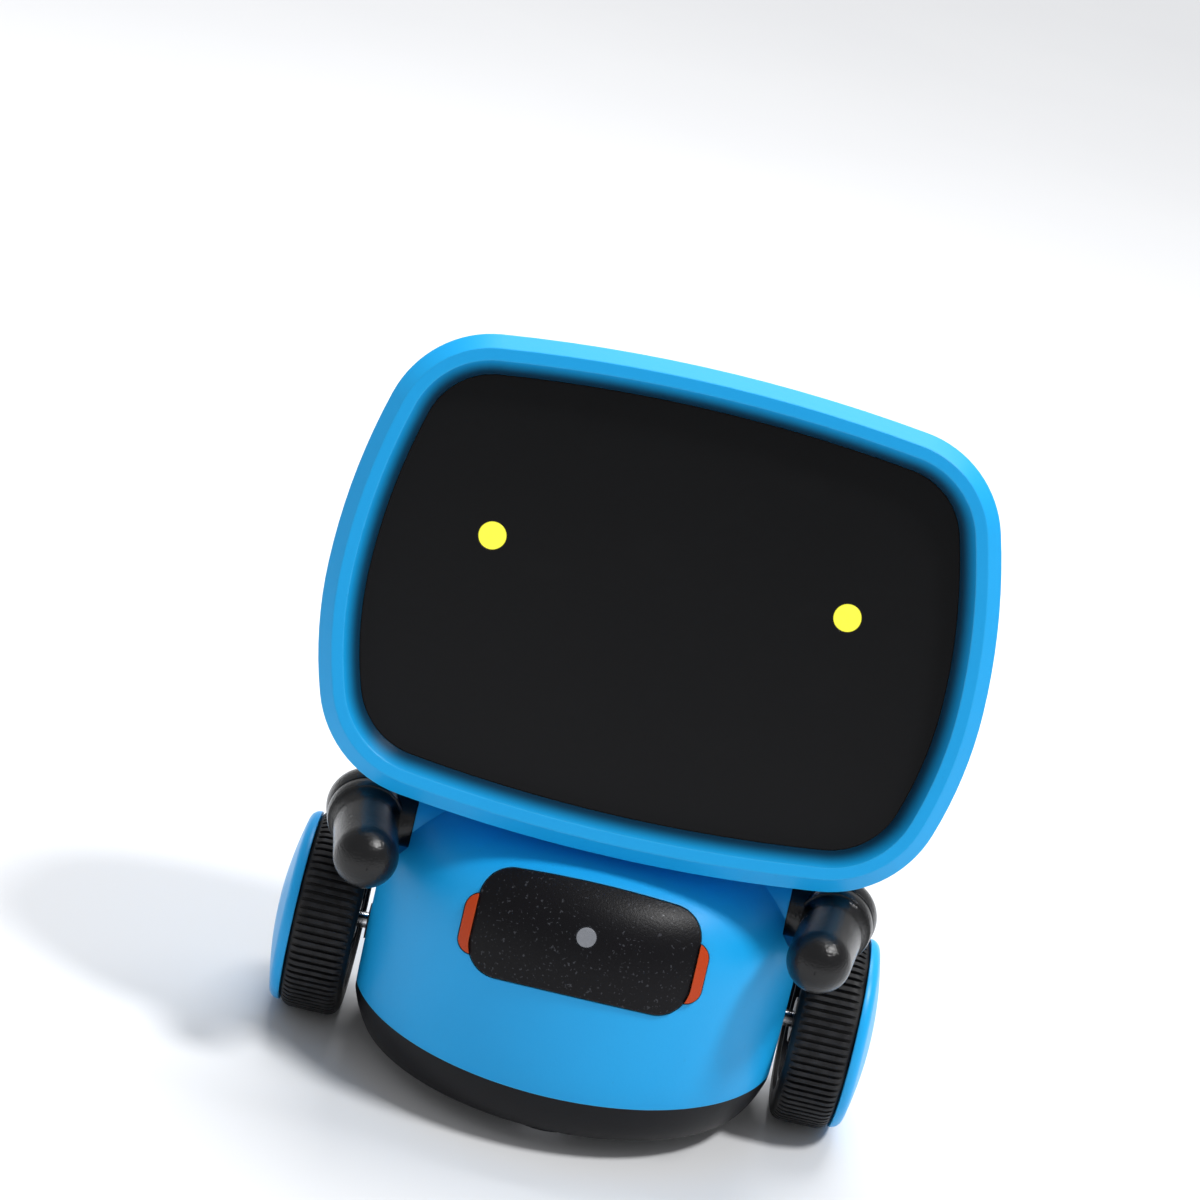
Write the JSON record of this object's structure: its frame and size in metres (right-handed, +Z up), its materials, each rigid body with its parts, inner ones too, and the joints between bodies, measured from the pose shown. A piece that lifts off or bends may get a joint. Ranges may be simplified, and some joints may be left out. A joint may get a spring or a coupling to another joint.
{
  "type": "educational coding robot",
  "caption": "Small wheeled companion robot with a leaning screen face that pans, two swinging arms, chest keys, geared drive wheels and ball casters.",
  "frame": {"origin": "on the floor, under the middle of the whole robot", "axes": "+Z up, the face looks to -Y, +X is to the right of someone who faces the robot"},
  "size_m": [0.1134, 0.0721, 0.1345],
  "materials": {
    "shell_blue": "fine-grained satin blue ABS",
    "lens_black": "smoked near-black window",
    "eye_yellow": "lit yellow diffuser",
    "lamp_white": "lamp body",
    "board_green": "solder-masked circuit board",
    "screw_steel": "zinc-plated",
    "speaker_black": "paper cone and steel basket",
    "trim_black": "fine-grained black ABS",
    "washer_white": "acetal washer",
    "status_grey": "unlit smoked light pipe",
    "switch_metal": "plated steel can",
    "pack_wrap": "shrink-wrapped pack",
    "ball_steel": "polished steel",
    "key_orange": "satin orange ABS",
    "arm_black": "fine-grained satin black",
    "tyre_rubber": "moulded rubber with cross ribs",
    "gear_white": "acetal gear",
    "pinion_brass": "brass pinion on a steel shaft",
    "gearbox_grey": "grey nylon"
  },
  "bodies": {
    "torso": {"base_pan": "trim_black", "battery_door": "shell_blue", "battery_pack": "pack_wrap", "battery_tray": "trim_black", "case_screws": "screw_steel", "caster_cup_back": "trim_black", "caster_cup_front": "trim_black", "chest_board": "board_green", "chest_light": "status_grey", "chest_panel": "trim_black", "chest_switches": "switch_metal", "gearbox_cup_left": "gearbox_grey", "gearbox_cup_right": "gearbox_grey", "gearbox_plate_left": "gearbox_grey", "gearbox_plate_right": "gearbox_grey", "main_board": "board_green", "motor_left": "switch_metal", "motor_right": "switch_metal", "neck_retainer": "trim_black", "neck_tube": "trim_black", "neck_washer": "washer_white", "power_switch_body": "switch_metal", "torso_back_shell": "shell_blue", "torso_front_shell": "shell_blue"},
    "head": {"head_front_shell": "shell_blue", "head_back_shell": "shell_blue", "face_screen": "lens_black", "eye_light_left": "eye_yellow", "eye_light_right": "eye_yellow", "eye_leds": "lamp_white", "face_board": "board_green", "head_screws": "screw_steel", "speaker": "speaker_black"},
    "power_slider": {"power_switch_slider": "trim_black"},
    "caster_front": {"caster_ball_front": "ball_steel"},
    "caster_back": {"caster_ball_back": "ball_steel"},
    "arm_left": {"arm_shell_left": "arm_black", "arm_dome_left": "arm_black", "arm_hub_left": "trim_black"},
    "wheel_left": {"tyre_left": "tyre_rubber", "wheel_rim_left": "trim_black", "hub_cap_left": "shell_blue", "axle_left": "ball_steel", "wheel_gear_left": "gear_white"},
    "idler_left": {"idler_gear_left": "gear_white"},
    "pinion_left": {"motor_pinion_left": "pinion_brass"},
    "key_left": {"side_key_left": "key_orange"},
    "arm_right": {"arm_shell_right": "arm_black", "arm_dome_right": "arm_black", "arm_hub_right": "trim_black"},
    "wheel_right": {"tyre_right": "tyre_rubber", "wheel_rim_right": "trim_black", "hub_cap_right": "shell_blue", "axle_right": "ball_steel", "wheel_gear_right": "gear_white"},
    "idler_right": {"idler_gear_right": "gear_white"},
    "pinion_right": {"motor_pinion_right": "pinion_brass"},
    "key_right": {"side_key_right": "key_orange"}
  },
  "joints": [
    {"name": "head_pan", "type": "hinge", "parent": "torso", "child": "head", "pos_m": [0, -0.001, 0.058], "axis": [0, 0, 1], "range_deg": [-60, 60]},
    {"name": "power_switch", "type": "slide", "parent": "torso", "child": "power_slider", "axis": [1, 0, 0], "range_m": [0, 0.0024]},
    {"name": "caster_front_roll", "type": "hinge", "parent": "torso", "child": "caster_front", "pos_m": [0, -0.022, 0.006], "axis": [1, 0, 0], "continuous": true},
    {"name": "caster_back_roll", "type": "hinge", "parent": "torso", "child": "caster_back", "pos_m": [0, 0.022, 0.006], "axis": [1, 0, 0], "continuous": true},
    {"name": "arm_swing_left", "type": "hinge", "parent": "torso", "child": "arm_left", "pos_m": [-0.0423, -0.006, 0.0439], "axis": [1, 0, 0], "range_deg": [-8, 32]},
    {"name": "wheel_spin_left", "type": "hinge", "parent": "torso", "child": "wheel_left", "pos_m": [-0.045, 0.004, 0.018], "axis": [1, 0, 0], "continuous": true},
    {"name": "idler_spin_left", "type": "hinge", "parent": "torso", "child": "idler_left", "pos_m": [-0.026, -0.004, 0.02695], "axis": [1, 0, 0], "continuous": true},
    {"name": "pinion_spin_left", "type": "hinge", "parent": "torso", "child": "pinion_left", "pos_m": [-0.025, 0.003, 0.03607], "axis": [1, 0, 0], "continuous": true},
    {"name": "key_press_left", "type": "slide", "parent": "torso", "child": "key_left", "axis": [0, 0.9063, -0.4226], "range_m": [0, 0.0008], "stiffness_N_per_m": 400, "springref_m": -0.0006},
    {"name": "arm_swing_right", "type": "hinge", "parent": "torso", "child": "arm_right", "pos_m": [0.0423, -0.006, 0.0439], "axis": [1, 0, 0], "range_deg": [-8, 32]},
    {"name": "wheel_spin_right", "type": "hinge", "parent": "torso", "child": "wheel_right", "pos_m": [0.045, 0.004, 0.018], "axis": [1, 0, 0], "continuous": true},
    {"name": "idler_spin_right", "type": "hinge", "parent": "torso", "child": "idler_right", "pos_m": [0.026, -0.004, 0.02695], "axis": [1, 0, 0], "continuous": true},
    {"name": "pinion_spin_right", "type": "hinge", "parent": "torso", "child": "pinion_right", "pos_m": [0.025, 0.003, 0.03607], "axis": [1, 0, 0], "continuous": true},
    {"name": "key_press_right", "type": "slide", "parent": "torso", "child": "key_right", "axis": [0, 0.9063, -0.4226], "range_m": [0, 0.0008], "stiffness_N_per_m": 400, "springref_m": -0.0006}
  ],
  "couplings": [
    {"joint": "idler_spin_left", "follows": "wheel_spin_left", "ratio": -3},
    {"joint": "pinion_spin_left", "follows": "wheel_spin_left", "ratio": 10.8},
    {"joint": "idler_spin_right", "follows": "wheel_spin_right", "ratio": -3},
    {"joint": "pinion_spin_right", "follows": "wheel_spin_right", "ratio": 10.8}
  ]
}
